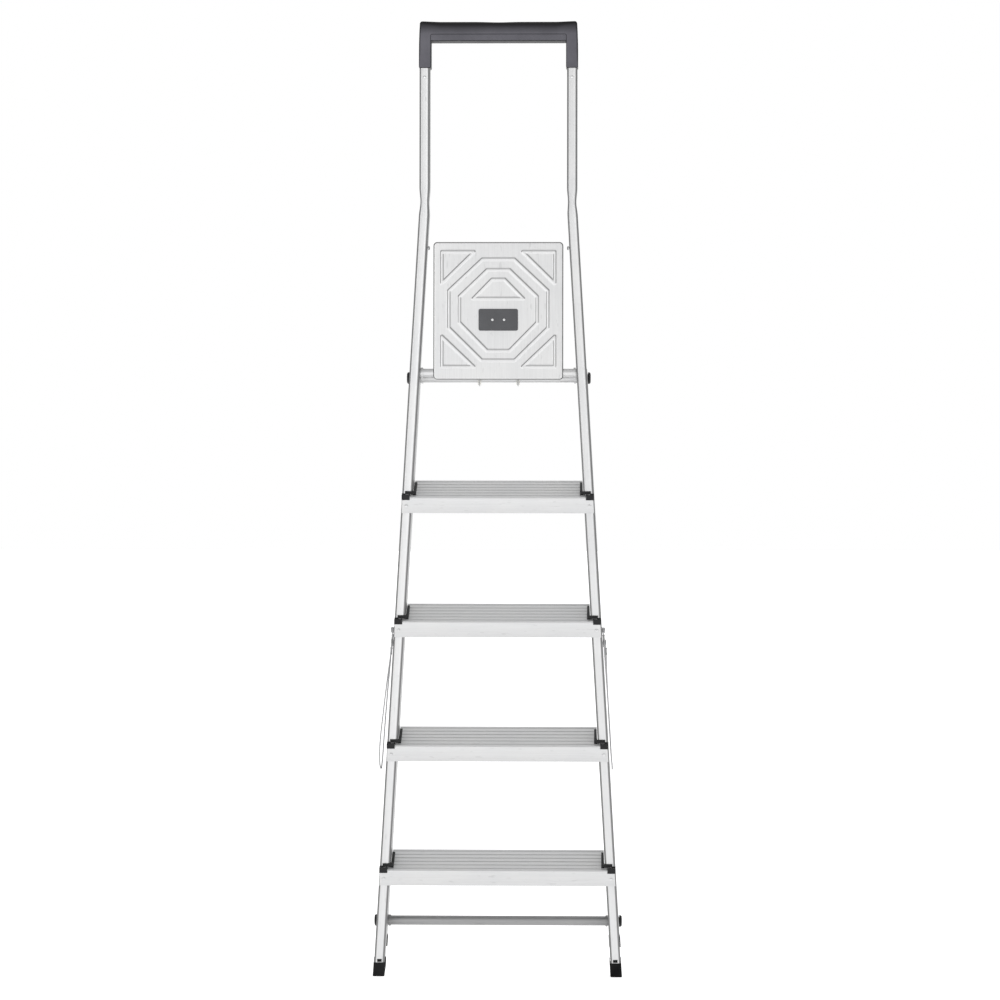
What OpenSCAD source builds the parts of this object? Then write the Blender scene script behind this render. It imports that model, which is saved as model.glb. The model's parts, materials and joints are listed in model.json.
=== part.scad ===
/* [Ladder] */
// Height of the closed ladder, from the front feet to the top of the handle
ladder_h = 1794; // [1600:1:1950]
// Outside half width of the front frame at the floor
foot_half_w = 233.2; // [200:0.1:280]
// Outside half width of the front frame above the bend
top_half_w = 148.3; // [130:0.1:170]
// Height of the bend where the sloping stiles turn upright
bend_z = 1446; // [1400:1:1500]
// Lean of the front frame when the ladder stands open, in degrees
lean = 21.3; // [18:0.1:24]

/* [Stiles] */
// Width of a stile seen from the front
stile_w = 20; // [16:0.5:26]
// Depth of a stile from front to back
stile_d = 40; // [34:1:50]
// Wall of the stile tube
stile_wall = 1.8; // [1.2:0.1:2.5]

/* [Treads] */
// Height of the lowest nosing above the floor
tread_first_z = 200.8; // [180:0.1:240]
// Distance between nosings along the stile
tread_pitch = 233.1; // [220:0.1:250]
// Depth of a tread's top surface
tread_depth = 89.5; // [75:0.5:100]
// How far a nosing stands in front of the stiles
nosing_out = 12; // [8:1:16]
// Height of the front lip
lip_h = 30; // [24:1:36]

/* [Platform] */
// Width of the platform
plat_w = 244; // [220:1:250]
// Length of the platform
plat_l = 258.5; // [240:0.5:270]
// Depth of the platform's rim
plat_rim = 20; // [14:1:24]
// Height of the tube that the platform turns on
pivot_z = 1134; // [1120:1:1150]

/* [Rear frame] */
// Width of a rear leg seen from the front
leg_w = 20; // [16:0.5:24]
// Depth of a rear leg
leg_d = 30; // [24:1:34]
// Height of the rear frame's top tube when the ladder is closed
rear_tube_z = 1125.6; // [1118:0.1:1130]
// Height of the rear frame's lower cross tube when the ladder is closed
cross_tube_z = 99.3; // [90:0.1:140]
// Height of the rear feet's lowest edge when the ladder is closed
rear_foot_z = 47.7; // [40:0.1:60]
// How far the rear tube travels along its slots
slide_travel = 112; // [100:1:116]

/* [Handle] */
// Outside half width of the handle
grip_half_w = 149.5; // [140:0.5:156]
// Height of the handle's top bar
grip_bar_h = 39.5; // [34:0.5:46]
// Height of a handle leg below the top
grip_leg_h = 88; // [70:1:100]
// Width of a handle leg
grip_leg_w = 22.6; // [22.4:0.1:24]
// Depth of the handle from front to back
grip_d = 45; // [44:0.5:50]

/* [Cords] */
// Diameter of the spreader cords
cord_dia = 2.5; // [2:0.1:4]

/* [Hidden] */
$fn = 48;

LEFT = -1;
RIGHT = 1;
slope_rate = (foot_half_w - top_half_w) / bend_z;
slope = atan(slope_rate);
plastic = "#2b2b2d";
grip_grey = "#55555c";
alu = "#d9dadc";
steel = "#9c9ea1";
clear = 0.1; // gap between a hole and what sits in it
gap = 0.3; // gap between pieces that move past each other
far = 3000; // longer than the ladder, for cutting blocks
// Pivot tube and rear top tube
pivot_depth = 20;
pivot_r = 8;
rear_depth = 58;
rear_r = 9;
slide_start = rear_tube_z - pivot_z;
slide_end = slide_start + slide_travel;
bush_r = 11;
bracket_half = 36.5;
bracket_t = 2;
// Platform sheet
plate_face = 10;
plate_t = 1.5;
plate_low = pivot_z - 12.6;
// Press dents beside the bend: long shallow scoops in both side faces
dent_r = 256;
dent_deep = 0.8;
dent_reach = dent_r - dent_deep;
dent_up = 10;
// Rear frame
leg_gap = 0.8; // a rear leg stands this much further out than the stile
leg_wall = 1.5;
leg_top_z = rear_tube_z + 17;
leg_front = rear_depth - leg_d / 2;
rear_sole_tilt = 19.5;
// Feet
foot_h = 26;
boot = 1; // wall of a boot outside the tube
rear_foot_h = 15;
// Depth is measured from the stiles' front faces. This moves the ladder over its own origin.
cap_wall = 1.2;
depth_shift = -(rear_depth + leg_d / 2 + boot - nosing_out - cap_wall) / 2;
// Handle rivets
grip_rivet_z = 1689;
// Cord studs
cord_front_z = 650;
cord_rear_z = 624.5;
rest_stud_z = 1369;
// Crimped sleeves at the cords' ends
ferrule_r = 2.4;
ferrule_h = 14;
// Tenons that hold a tread in the stiles, and its two front rivets
tenon_r = 7;
tenon_depth = 22;
tenon_up = 3.5;
rivet_drop = 16.4;
// Tread sheet, its grip grooves and its end caps
tread_t = 2.2;
groove_pitch = 14.4;
cap_front = 10.1;
cap_back = 72;
cap_block_w = 15;
cap_side = 1.15;
// The front feet's snap catches
foot_tab_z = 29.7;

// Outside half width of the front frame at a height
function half_w(z) = z >= bend_z ? top_half_w : top_half_w + (bend_z - z) * slope_rate;
function tread_z(n) = tread_first_z + (n - 1) * tread_pitch;

// ---------- shapes used by several pieces ----------

// Rectangle about the origin with round corners
module round_rect(w, d, r) {
    square([w - 2 * r, d], center = true);
    square([w, d - 2 * r], center = true);
    for (x = [-1, 1], y = [-1, 1])
        translate([x * (w / 2 - r), y * (d / 2 - r)]) circle(r, $fn = 24);
}

// Draws a piece in depth coordinates, on one side or the other
module on_side(side) {
    translate([0, depth_shift, 0])
        if (side == RIGHT) children();
        else mirror([1, 0, 0]) children();
}

// Runs a profile up the right hand slope, whose outer face is half_w(z) + out
module up_the_slope(w, out = 0) {
    translate([foot_half_w + out - w / 2, 0, 0])
        rotate([0, -slope, 0])
            translate([0, 0, -30])
                linear_extrude(bend_z + 60) children();
}

// Cylinder along X, centred on x = 0
module bar(r, l) {
    rotate([0, 90, 0]) cylinder(r = r, h = l, center = true);
}

// Everything above a plane through (depth, z) that rises by an angle towards the back
module above_plane(depth, z, rise) {
    translate([0, depth, z]) rotate([rise, 0, 0]) translate([-far / 2, -far / 2, 0]) cube(far);
}

// A rivet along Y: dome head at the front, shank going back
module front_rivet(head_r, shank_r, shank_l) {
    rotate([-90, 0, 0]) {
        cylinder(r = shank_r, h = shank_l, $fn = 24);
        rotate([180, 0, 0]) rotate_extrude($fn = 32)
            polygon([[0, 0], [head_r, 0], [head_r * 0.94, head_r * 0.25],
                [head_r * 0.7, head_r * 0.42], [head_r * 0.35, head_r * 0.52], [0, head_r * 0.55]]);
    }
}

// ---------- front frame ----------

module stile_profile() {
    difference() {
        round_rect(stile_w, stile_d, 2);
        translate([0, -stile_d / 2]) round_rect(9, 1.2, 0.5);
        translate([0, stile_d / 2]) round_rect(9, 1.2, 0.5);
    }
}

module stile_hollow() {
    round_rect(stile_w - 2 * stile_wall, stile_d - 2 * stile_wall, 1);
}

module stile_run(grow = 0) {
    translate([0, stile_d / 2, 0]) {
        intersection() {
            up_the_slope(stile_w) {
                if (grow == 0) stile_profile();
                else stile_hollow();
            }
            translate([0, -100, -50]) cube([400, 200, bend_z + 50]);
        }
        translate([top_half_w - stile_w / 2, 0, bend_z])
            linear_extrude(ladder_h - 12 - bend_z) {
                if (grow == 0) stile_profile();
                else stile_hollow();
            }
    }
}

module stile(side) {
    color(alu) on_side(side) difference() {
        intersection() {
            stile_run();
            above_plane(0, 5, lean);
        }
        // the pressed dents at the bend
        for (x = [top_half_w + dent_reach, top_half_w - stile_w - dent_reach])
            translate([x, stile_d / 2, bend_z + dent_up])
                rotate([90, 0, 0]) cylinder(r = dent_r, h = stile_d + 2, center = true, $fn = 180);
        stile_run(1);
        translate([0, pivot_depth, pivot_z]) bar(pivot_r + clear, 2 * far);
        // holes in the inner wall for the treads' tenons
        for (n = [1:4])
            translate([half_w(tread_z(n)) - stile_w, tenon_depth, tread_z(n) + tenon_up])
                bar(tenon_r + clear, 2 * stile_wall + 4);
        for (n = [1:4])
            translate([rivet_x(n), -1, tread_z(n) - rivet_drop])
                rotate([-90, 0, 0]) cylinder(r = 2, h = 6, $fn = 24);
        translate([top_half_w - stile_w / 2, stile_d / 2, grip_rivet_z])
            rotate([90, 0, 0]) cylinder(r = 2.1, h = 60, center = true, $fn = 24);
        translate([half_w(rest_stud_z) - stile_w, pivot_depth, rest_stud_z]) bar(2.6, 6);
        translate([half_w(cord_front_z), pivot_depth, cord_front_z]) bar(2.6, 6);
        // window for the foot's catch
        translate([half_w(foot_tab_z) - stile_w / 2, 0, foot_tab_z])
            cube([8.9, 8, 5.9], center = true);
    }
}

// ---------- treads ----------

// The front rivets sit this far in from the lip's end
function rivet_x(n) = half_w(tread_z(n)) - 8.5;

// Lip's front face, bowed from the nosing to its lower edge against the stile
lip_steps = 8;
lip_curve = 1.7;
lip_out = [for (i = [0:lip_steps])
    let (t = i / lip_steps)
    [-nosing_out + (nosing_out - tread_t) * pow(t, lip_curve), -3 - t * (lip_h - 3)]];
lip_in = [for (i = [lip_steps:-1:0]) lip_out[i] + [tread_t, 0]];

// Section of a tread in depth and height, about the top of its nosing
module tread_section(filled = 0) {
    difference() {
        union() {
            // nosing and lip
            translate([3 - nosing_out, -3]) circle(3, $fn = 24);
            polygon(concat([[-nosing_out + 3, -0.2], [-nosing_out + 0.6, -1.2]], lip_out, lip_in,
                [[-nosing_out + 6, -3.5], [-nosing_out + 8, 0]]));
            // top plate with its rear bead and flange
            translate([-nosing_out, 0]) rotate(lean) {
                translate([2, -tread_t]) square([tread_depth - 5, tread_t]);
                translate([tread_depth - 3, -3]) circle(3, $fn = 24);
                translate([tread_depth - 4.1, -14]) square([2.2, 12]);
            }
            // tube under the plate that carries the tread
            translate([tenon_depth, tenon_up]) circle(tenon_r, $fn = 48);
            translate([tenon_depth - 1.5, tenon_up]) square([3, 8]);
        }
        translate([tenon_depth, tenon_up]) circle(tenon_r - 1.8, $fn = 48);
        // grip grooves along the top
        if (filled == 0) for (i = [0:5])
            translate([-nosing_out, 0]) rotate(lean)
                translate([7 + i * groove_pitch, -0.7]) square([2.4, 2]);
    }
}

// Trapezium between the slopes, set in from the outer faces
module between_slopes(z0, z1, inset) {
    rotate([90, 0, 0]) linear_extrude(400, center = true)
        polygon([[-half_w(z0) + inset, z0], [half_w(z0) - inset, z0],
            [half_w(z1) - inset, z1], [-half_w(z1) + inset, z1]]);
}

module tread(n) {
    z = tread_z(n);
    color(alu) translate([0, depth_shift, 0]) {
        difference() {
            intersection() {
                translate([0, 0, z]) rotate([90, 0, 90])
                    linear_extrude(600, center = true) tread_section();
                union() {
                    intersection() {
                        between_slopes(z - 60, z + 60, 1.6);
                        translate([-far / 2, -far - 0.05, 0]) cube(far);
                    }
                    between_slopes(z - 60, z + 60, stile_w + 0.2);
                }
            }
            for (s = [LEFT, RIGHT])
                translate([s * rivet_x(n), -30, z - rivet_drop])
                    rotate([-90, 0, 0]) cylinder(r = 2, h = 40, $fn = 24);
        }
        // tenons through the stiles' inner walls
        for (s = [LEFT, RIGHT])
            translate([s * (half_w(z) - stile_w + 1.7), tenon_depth, z + tenon_up])
                difference() {
                    bar(tenon_r, 4.6);
                    bar(tenon_r - 1.8, 12);
                }
    }
}

// Black moulding that closes the joint between a tread and one stile
module tread_cap(n, side) {
    z = tread_z(n);
    inner = half_w(z) - stile_w;
    outer = half_w(z);
    color(plastic) on_side(side) difference() {
        union() {
            // strip along the stile's inner face
            intersection() {
                translate([inner - 6.5, -nosing_out, z]) rotate([lean, 0, 0])
                    translate([0, cap_front, 0.05]) cube([7, cap_back - cap_front, 2.2]);
                between_slopes(z - 60, z + 60, stile_w + 0.25);
            }
            // upright rim across the stile's front face
            translate([inner - 6.5, -2.6, z + 4.7]) cube([5.6, 4.6, 6.7]);
            translate([inner - 6.5, -2.6, z + 5.3]) cube([20.5, 2.5, 6.1]);
            // block over the nosing's outer corner, and the wall that joins it to the rim
            translate([outer - cap_block_w, -nosing_out - cap_wall, z - 5.6]) cube([cap_block_w, 5, 9.6]);
            translate([outer - cap_side, -nosing_out - cap_wall, z - 5.6])
                cube([cap_side, nosing_out + 1.1, 9.6]);
            translate([outer - 7, -2.6, z - 1]) cube([7, 2.5, 8]);
            translate([outer - cap_block_w, -nosing_out, z + 2.5]) cube([2, nosing_out - clear, 4]);
        }
        translate([0, 0, z]) rotate([90, 0, 90])
            linear_extrude(outer - cap_side) tread_section(1);
    }
}

// Where the rivets' heads sit: just proud of the lip's face at their height
lip_depth = -nosing_out + (nosing_out - tread_t) * pow((rivet_drop - 3) / (lip_h - 3), lip_curve) - 0.9;

module tread_rivets() {
    color(steel) translate([0, depth_shift, 0])
        for (n = [1:4], s = [LEFT, RIGHT])
            translate([s * rivet_x(n), lip_depth, tread_z(n) - rivet_drop])
                front_rivet(2.7, 1.95, 6 - lip_depth);
}

// ---------- handle ----------

module handle_outline(inset = 0) {
    difference() {
        translate([0, ladder_h - grip_leg_h / 2])
            round_rect(2 * grip_half_w - 2 * inset, grip_leg_h, 6);
        translate([0, ladder_h - grip_bar_h - 60 + inset])
            round_rect(2 * (grip_half_w - grip_leg_w) + 2 * inset, 120, 4);
        translate([-far / 2, ladder_h - grip_leg_h - far]) square([far, far + 6]);
    }
}

module handle_grip() {
    color(grip_grey) translate([0, depth_shift + stile_d / 2, 0]) {
        difference() {
            rotate([90, 0, 0]) linear_extrude(grip_d, center = true) handle_outline();
            // hollow inside of the top bar
            translate([0, 0, ladder_h - grip_bar_h / 2])
                cube([2 * (top_half_w - stile_w) - 8, grip_d - 8, grip_bar_h - 8], center = true);
            // sockets for the stiles' ends
            for (s = [LEFT, RIGHT])
                translate([s * (top_half_w - stile_w / 2), 0, 0])
                    linear_extrude(ladder_h - 11.5)
                        round_rect(stile_w + 0.3, stile_d + 0.3, 1.5);
            // shallow recess along the lower half of the bar, front and back
            for (s = [-1, 1])
                translate([0, s * (grip_d / 2 + 0.4), ladder_h - grip_bar_h + 6])
                    cube([2 * (grip_half_w - grip_leg_w) - 2, 2.8, 16], center = true);
        }
        // tongues inside the stiles
        for (s = [LEFT, RIGHT])
            difference() {
                translate([s * (top_half_w - stile_w / 2), 0, grip_rivet_z - 15])
                    linear_extrude(ladder_h - 11 - grip_rivet_z + 15)
                        round_rect(stile_w - 2 * stile_wall - 0.4, stile_d - 2 * stile_wall - 0.4, 1);
                translate([s * (top_half_w - stile_w / 2), 0, grip_rivet_z])
                    rotate([90, 0, 0]) cylinder(r = 2.1, h = 60, center = true, $fn = 24);
            }
    }
}

module handle_rivets() {
    color(steel) translate([0, depth_shift, 0])
        for (s = [LEFT, RIGHT])
            translate([s * (top_half_w - stile_w / 2), 0.55, grip_rivet_z]) {
                front_rivet(3, 2, stile_d - 1.1);
                translate([0, stile_d - 1.1, 0]) rotate([0, 0, 180]) front_rivet(3, 2, 1);
            }
}

// ---------- front feet ----------

module front_foot(side) {
    color(plastic) on_side(side) {
        difference() {
            intersection() {
                translate([0, stile_d / 2, 0]) up_the_slope(stile_w + 2 * boot, boot)
                    round_rect(stile_w + 2 * boot, stile_d + 2 * boot, 3);
                above_plane(-boot, 0, lean);
                union() {
                    translate([0, -100, -50]) cube([400, 200, 50 + foot_h]);
                    // the side ears stand higher
                    translate([0, 9, -50]) cube([400, 22, 50 + foot_h + 8]);
                }
            }
            intersection() {
                translate([0, stile_d / 2, 0]) up_the_slope(stile_w) round_rect(stile_w + 0.2, stile_d + 0.2, 2);
                above_plane(0, 4.9, lean);
            }
            // tread grooves across the sole
            for (i = [1:4])
                translate([0, -boot + i * 8.2 * cos(lean), i * 8.2 * sin(lean)])
                    rotate([lean, 0, 0]) cube([600, 2, 2.4], center = true);
        }
        // plug inside the stile with its snap catch
        intersection() {
            union() {
                translate([0, stile_d / 2, 0]) up_the_slope(stile_w - 2 * stile_wall, -stile_wall)
                    round_rect(stile_w - 2 * stile_wall - 0.4, stile_d - 2 * stile_wall - 0.4, 1);
                translate([half_w(foot_tab_z) - stile_w / 2, 3.1, foot_tab_z])
                    cube([8.5, 7.2, 5.5], center = true);
            }
            above_plane(0, 4, lean);
            translate([0, -100, -50]) cube([400, 200, 50 + 55]);
        }
    }
}

// ---------- pivot tube and studs ----------

module platform_tube() {
    outer = half_w(pivot_z);
    color(alu) translate([0, depth_shift + pivot_depth, pivot_z]) {
        difference() {
            bar(pivot_r, 2 * outer - 0.6);
            bar(pivot_r - 1.5, 2 * far);
        }
        // rolled beads that hold the tube against the stiles' inner faces
        for (s = [LEFT, RIGHT])
            translate([s * (outer - stile_w - 3), 0, 0])
                difference() {
                    bar(pivot_r + 2.2, 4);
                    bar(pivot_r - 0.5, 6);
                }
    }
}

module rest_stud(side) {
    color(steel) on_side(side)
        translate([half_w(rest_stud_z) - stile_w, pivot_depth, rest_stud_z]) {
            translate([0.4, 0, 0]) bar(2.5, 4);
            translate([-0.4, 0, 0]) rotate([0, -90, 0]) rotate_extrude($fn = 32)
                polygon([[0, 0], [4, 0], [4, 1.6], [3, 2.9], [0, 3.5]]);
        }
}

// Spool that a cord end is looped round. Its shank goes through the tube's wall.
module cord_spool(r) {
    rotate([0, 90, 0]) rotate_extrude($fn = 40)
        polygon([[0, -4], [2.5, -4], [2.5, 0.5], [r, 0.5], [r, 1.5], [3.6, 1.7],
            [3.6, 4.5], [r, 4.7], [r - 0.5, 5.8], [r - 2, 6.4], [0, 6.6]]);
}

module cord_stud_front(side) {
    color(plastic) on_side(side)
        translate([half_w(cord_front_z), pivot_depth, cord_front_z]) cord_spool(6);
}

module cord_stud_rear(side) {
    color(plastic) on_side(side)
        translate([half_w(cord_rear_z) + leg_gap, rear_depth, cord_rear_z]) cord_spool(7.5);
}

// ---------- platform ----------

// Raised line between two points of the platform's face
module rib(a, b, w = 6) {
    d = b - a;
    translate(a) circle(d = w, $fn = 12);
    translate(b) circle(d = w, $fn = 12);
    translate(a) rotate(atan2(d[1], d[0])) translate([0, -w / 2]) square([norm(d), w]);
}

// Ribs through a list of points, closed or open
module rib_path(p, closed = false) {
    for (i = [0:len(p) - (closed ? 1 : 2)]) rib(p[i], p[(i + 1) % len(p)]);
}

// The pressed pattern, measured from the middle of the platform's front edge
module plate_pattern() {
    for (s = [-1, 1]) {
        rib_path([[s * 46, 240], [s * 106, 240], [s * 106, 181], [s * 46, 240]]);
        rib_path([[s * 106, 81], [s * 46, 24], [s * 106, 24], [s * 106, 81]]);
    }
    rib_path([[-30, 226], [30, 226], [93, 167], [93, 97], [31, 36],
        [-31, 36], [-93, 97], [-93, 167]], true);
    rib_path([[-21, 206], [21, 206], [73, 156], [73, 107], [21, 54],
        [-21, 54], [-73, 107], [-73, 156]], true);
    rib_path([[-12, 188], [12, 188], [47, 152], [-47, 152]], true);
}

module platform_plate() {
    mid_z = plate_low + plat_l / 2;
    color(alu) translate([0, depth_shift, 0]) difference() {
        union() {
            // tray: top sheet with a rim all round
            translate([0, plate_face, mid_z]) rotate([-90, 0, 0])
                difference() {
                    linear_extrude(plat_rim) round_rect(plat_w, plat_l, 7);
                    translate([0, 0, plate_t]) linear_extrude(plat_rim)
                        round_rect(plat_w - 2 * plate_t, plat_l - 2 * plate_t, 5.5);
                }
            // pressed ribs
            translate([0, plate_face + 0.01, plate_low]) rotate([90, 0, 0])
                linear_extrude(1.2) plate_pattern();
        }
        translate([0, pivot_depth, pivot_z]) bar(pivot_r + 0.05, 2 * far);
        latch_holes(1.8);
    }
}

// Two holes through the sheet, the bracket and the latch
latch_s = 99.7;
module latch_holes(r) {
    for (s = [-1, 1])
        translate([s * 11, plate_face, pivot_z + latch_s])
            rotate([90, 0, 0]) cylinder(r = r, h = 60, center = true, $fn = 24);
}

module latch_plate() {
    color("#4a4b4e") translate([0, depth_shift, 0]) difference() {
        translate([0, plate_face - 0.02, pivot_z + latch_s]) rotate([90, 0, 0])
            linear_extrude(1.5) round_rect(74, 41, 3.5);
        latch_holes(1.8);
    }
}

module latch_rivets() {
    color(steel) translate([0, depth_shift, 0])
        for (s = [-1, 1])
            translate([s * 11, plate_face - 1.53, pivot_z + latch_s]) front_rivet(2.4, 1.7, 9.5);
}

// Side cheek of the bracket, in distance along the platform and depth behind the pivot
module cheek_outline() {
    difference() {
        union() {
            polygon([[10, -8.4], [148, -8.4], [150, 16], [132, 53.5], [-12, 53.5],
                [-23.8, 40], [-19, 28], [-10, 11]]);
            circle(10.8, $fn = 48);
        }
        translate([-20, -30]) square([50, 30 - 8.4]);
        circle(pivot_r + 0.05);
        translate([slide_start, off]) circle(bush_r + gap);
        translate([slide_end, off]) circle(bush_r + gap);
        translate([slide_start, off - bush_r - gap]) square([slide_travel, 2 * (bush_r + gap)]);
    }
}

off = rear_depth - pivot_depth;

module slide_bracket() {
    color(steel) translate([0, depth_shift + pivot_depth, pivot_z]) difference() {
        union() {
            for (s = [LEFT, RIGHT])
                translate([s * bracket_half, 0, 0]) rotate([0, 90, 0]) rotate([0, 0, 90])
                    linear_extrude(bracket_t, center = true) cheek_turned();
            // base against the sheet
            translate([-bracket_half, -8.4, 14]) cube([2 * bracket_half, bracket_t, 134]);
        }
        translate([0, -pivot_depth, -pivot_z]) latch_holes(1.8);
    }
}

// The cheek's outline turned so that distance runs up and depth runs back
module cheek_turned() {
    mirror([1, 0]) rotate(90) cheek_outline();
}

// Open jaw that the rear tube runs into at the end of the slots
module tube_latch() {
    roof = off - rear_r - 2;
    color(plastic) translate([0, depth_shift + pivot_depth, pivot_z]) difference() {
        union() {
            translate([-25, -6.3, slide_end - 18]) cube([50, roof + 6.3, 33.5]);
            // back wall and lower lip that stop and hold the tube
            translate([-25, off - 18, slide_end + rear_r + 1.5]) cube([50, 32, 5]);
            translate([-25, off + rear_r + 0.8, slide_end - 2]) cube([50, 4.2, 17.5]);
        }
        translate([-21.5, -3.3, slide_end - 14.5]) cube([43, roof, 60]);
        translate([-30, roof - 0.1, slide_end - 19]) cube([60, 1, 20]);
        translate([0, off, slide_end]) bar(rear_r + 0.6, 80);
        translate([0, -pivot_depth, -pivot_z]) latch_holes(1.8);
    }
}

// ---------- glides ----------

module glide_bush(side) {
    color("#e8e6e0") on_side(side)
        translate([bracket_half, rear_depth, rear_tube_z]) rotate([0, 90, 0])
            rotate_extrude($fn = 64)
                polygon([[rear_r + 0.05, -3], [bush_r + 2.5, -3], [bush_r + 2.5, -1.3],
                    [bush_r, -1.3], [bush_r, 1.3], [bush_r + 2.5, 1.3], [bush_r + 2.5, 3],
                    [rear_r + 0.05, 3]]);
}

// ---------- rear frame ----------

module rear_leg(side) {
    color(alu) on_side(side) difference() {
        intersection() {
            translate([0, rear_depth, 0]) up_the_slope(leg_w, leg_gap) difference() {
                round_rect(leg_w, leg_d, 2);
                round_rect(leg_w - 2 * leg_wall, leg_d - 2 * leg_wall, 1);
            }
            translate([0, -100, 0]) cube([400, 300, leg_top_z]);
            above_plane(leg_front + leg_d, rear_foot_z + 5, -rear_sole_tilt);
        }
        for (z = [rear_tube_z, cross_tube_z])
            translate([0, rear_depth, z]) bar(rear_r + clear, 2 * far);
        translate([half_w(cord_rear_z) + leg_gap, rear_depth, cord_rear_z]) bar(2.6, 6);
    }
}

// Tube between the legs, with a rolled bead inside each leg
module frame_tube(z) {
    outer = half_w(z) + leg_gap;
    color(alu) translate([0, depth_shift + rear_depth, z]) {
        difference() {
            bar(rear_r, 2 * outer);
            bar(rear_r - 1.5, 2 * far);
        }
        for (s = [LEFT, RIGHT])
            translate([s * (outer - leg_w - 3.2), 0, 0])
                difference() {
                    bar(rear_r + 1.8, 4);
                    bar(rear_r - 0.5, 6);
                }
    }
}

module tube_cap(side, z) {
    color(plastic) on_side(side)
        translate([half_w(z) + leg_gap, rear_depth, z]) rotate([0, 90, 0])
            rotate_extrude($fn = 48)
                polygon([[0, -12], [rear_r - 1.6, -12], [rear_r - 1.6, 0.6], [11, 0.7],
                    [11, 3.4], [10.2, 4.8], [8.5, 5.7], [6, 6], [0, 6]]);
}

module rear_foot(side) {
    back = leg_front + leg_d + boot;
    color(plastic) on_side(side) {
        difference() {
            intersection() {
                translate([0, rear_depth, 0]) up_the_slope(leg_w + 2 * boot, leg_gap + boot)
                    round_rect(leg_w + 2 * boot, leg_d + 2 * boot, 3);
                above_plane(back, rear_foot_z, -rear_sole_tilt);
                translate([0, -100, 0]) cube([400, 300, rear_foot_z + rear_foot_h + 9]);
            }
            intersection() {
                translate([0, rear_depth, 0]) up_the_slope(leg_w, leg_gap)
                    round_rect(leg_w + 0.2, leg_d + 0.2, 2);
                above_plane(leg_front + leg_d, rear_foot_z + 4.9, -rear_sole_tilt);
            }
        }
        intersection() {
            translate([0, rear_depth, 0]) up_the_slope(leg_w - 2 * leg_wall, leg_gap - leg_wall)
                round_rect(leg_w - 2 * leg_wall - 0.4, leg_d - 2 * leg_wall - 0.4, 1);
            above_plane(leg_front + leg_d, rear_foot_z + 4, -rear_sole_tilt);
            translate([0, -100, 0]) cube([400, 300, rear_foot_z + 38]);
        }
    }
}

// ---------- spreader cords ----------

// Each cord hangs from the front stud (ferrule) down to the bight and up to the rear stud.
// Points are [x, depth, z] on the right hand side, chosen by hand.
left_front = [[199.7, 20, 628], [202.6, 20, 600], [209.4, 20.5, 550], [215.4, 21.5, 500],
    [221.2, 23.5, 450], [223.4, 26.5, 415], [223, 30, 398], [222, 34, 390], [221, 39, 388]];
left_rear = [[203.8, 58, 602], [205.6, 58, 580], [209.2, 57.5, 540], [213.2, 56.5, 490], [216.4, 54.5, 445],
    [218.4, 51, 413], [219.6, 47.5, 398], [220.4, 43.5, 390], [221, 39, 388]];
right_front = [[199.7, 20, 628], [201.4, 20, 600], [205, 20.5, 550], [208.5, 21.5, 500],
    [211.5, 23.5, 450], [213.5, 26.5, 415], [215, 30, 398], [215.5, 34, 390], [215.5, 39, 388]];
right_rear = [[203.8, 58, 602], [204.5, 58, 580], [206.2, 57.5, 540], [208.8, 56.5, 490],
    [211.5, 54.5, 445], [213.5, 51, 413], [215, 47.5, 398], [215.5, 43.5, 390], [215.5, 39, 388]];

// A smooth curve through the route: the point at t, from 0 to the number of spans
function at(p, i) = p[max(0, min(len(p) - 1, i))];
function curve(p, t) =
    let (i = min(floor(t), len(p) - 2), u = t - i,
        a = at(p, i - 1), b = at(p, i), c = at(p, i + 1), d = at(p, i + 2))
    0.5 * ((2 * b) + (c - a) * u + (2 * a - 5 * b + 4 * c - d) * u * u
        + (3 * b - a - 3 * c + d) * u * u * u);
rings_per_span = 2.5;
function route_of(p) = let (n = round((len(p) - 1) * rings_per_span))
    [for (k = [0:n]) curve(p, k * (len(p) - 1) / n)];
function way(p, i) = let (d = at(p, i + 1) - at(p, i - 1)) d / norm(d);

// Round tube swept along a route that lies nearly in one upright plane
module cord_tube(p, end_way) {
    q = route_of(p);
    sides = 8;
    n = len(q);
    side_way = [1, 0, 0];
    points = [for (i = [0:n - 1])
        let (w = i == n - 1 ? end_way : way(q, i),
            a0 = side_way - w * (side_way * w), a = a0 / norm(a0), b = cross(w, a))
        for (k = [0:sides - 1])
            q[i] + cord_dia / 2 * (cos(k * 360 / sides) * a + sin(k * 360 / sides) * b)];
    faces = concat(
        [[for (k = [0:sides - 1]) k]],
        [[for (k = [sides - 1:-1:0]) (n - 1) * sides + k]],
        [for (i = [0:n - 2], k = [0:sides - 1])
            let (l = (k + 1) % sides)
            [i * sides + k, (i + 1) * sides + k, (i + 1) * sides + l, i * sides + l]]);
    polyhedron(points, faces, convexity = 4);
}

module cord(side, p, end_way) {
    color("#c9c9cb") on_side(side) cord_tube(p, end_way);
}

// Crimped sleeve at a cord's end
module cord_ferrule(side, p) {
    w = (p[1] - p[0]) / norm(p[1] - p[0]);
    color("#dcdcdc") on_side(side)
        translate(p[0]) rotate([0, -atan2(w[0], -w[2]), 0])
            translate([0, 0, clear]) cylinder(r = ferrule_r, h = ferrule_h - clear, $fn = 24);
}

// ---------- pieces by name ----------

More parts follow.
